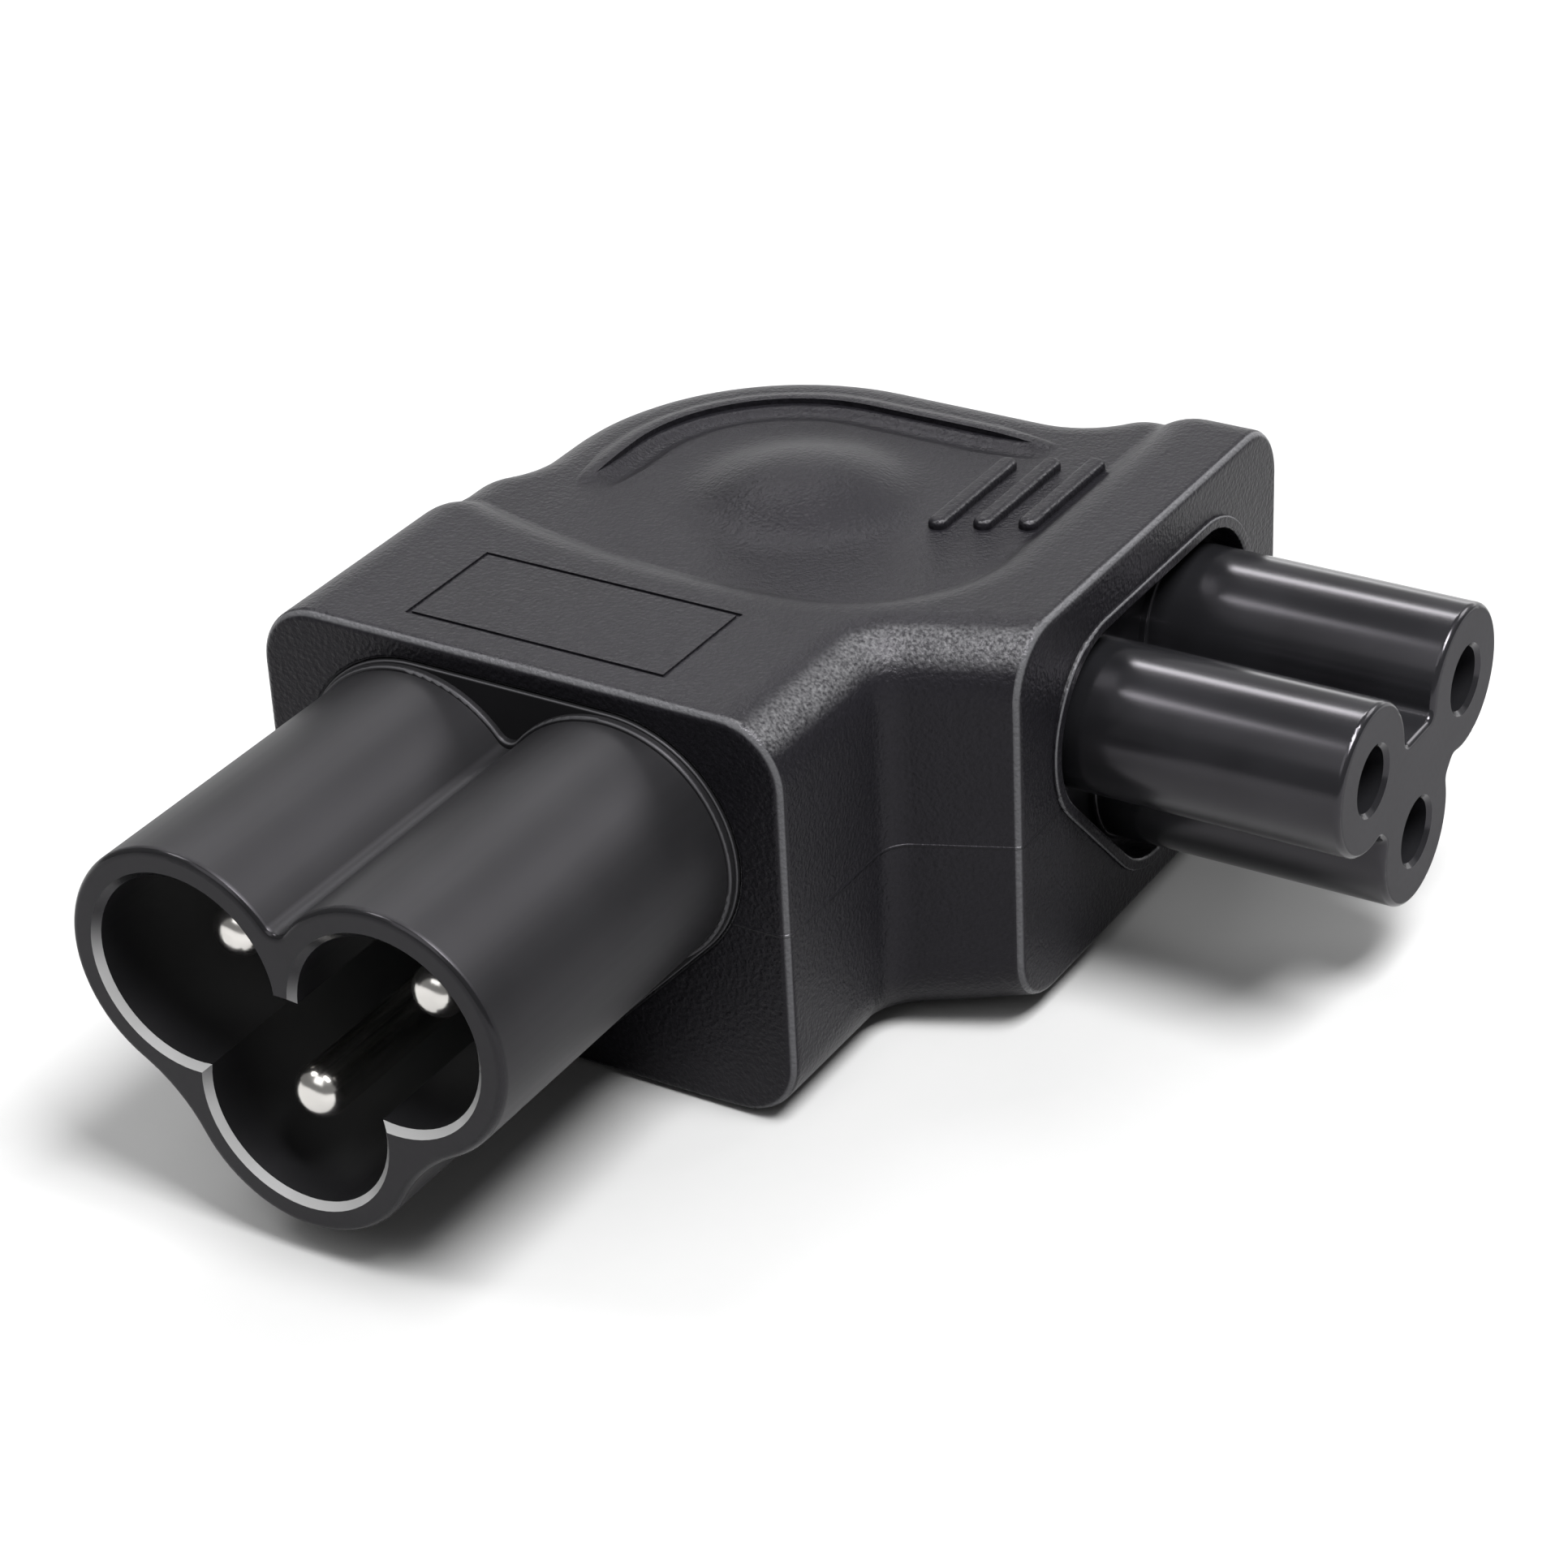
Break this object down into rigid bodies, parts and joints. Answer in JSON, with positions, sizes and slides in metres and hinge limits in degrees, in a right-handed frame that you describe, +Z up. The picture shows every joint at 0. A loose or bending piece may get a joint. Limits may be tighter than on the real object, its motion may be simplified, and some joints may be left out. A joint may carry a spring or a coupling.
{
  "type": "right-angle mains adapter",
  "caption": "Right-angle moulded adapter with a cloverleaf pin inlet on one leg and a cloverleaf socket nose on the other, joined by wires inside.",
  "frame": {"origin": "on the underside, below the point where the inlet's and the outlet's middle lines cross", "axes": "+Z up from the underside, +X out of the outlet nose, -Y out of the inlet shroud"},
  "size_m": [0.0448, 0.0535, 0.0203],
  "materials": {
    "body_plastic": "fine moulded grain",
    "shroud_plastic": "satin",
    "nose_plastic": "polished",
    "pin_metal": "bright nickel plate",
    "contact_metal": "bright strip",
    "conductor_metal": "bare copper",
    "line_insulation": "satin",
    "neutral_insulation": "satin",
    "earth_insulation": "satin"
  },
  "bodies": {
    "root": {"body": "body_plastic", "inlet_shroud": "shroud_plastic", "outlet_nose": "nose_plastic", "line_pin": "pin_metal", "line_contact": "contact_metal", "line_conductor": "conductor_metal", "line_insulation": "line_insulation", "neutral_pin": "pin_metal", "neutral_contact": "contact_metal", "neutral_conductor": "conductor_metal", "neutral_insulation": "neutral_insulation", "earth_pin": "pin_metal", "earth_contact": "contact_metal", "earth_conductor": "conductor_metal", "earth_insulation": "earth_insulation"}
  },
  "joints": []
}
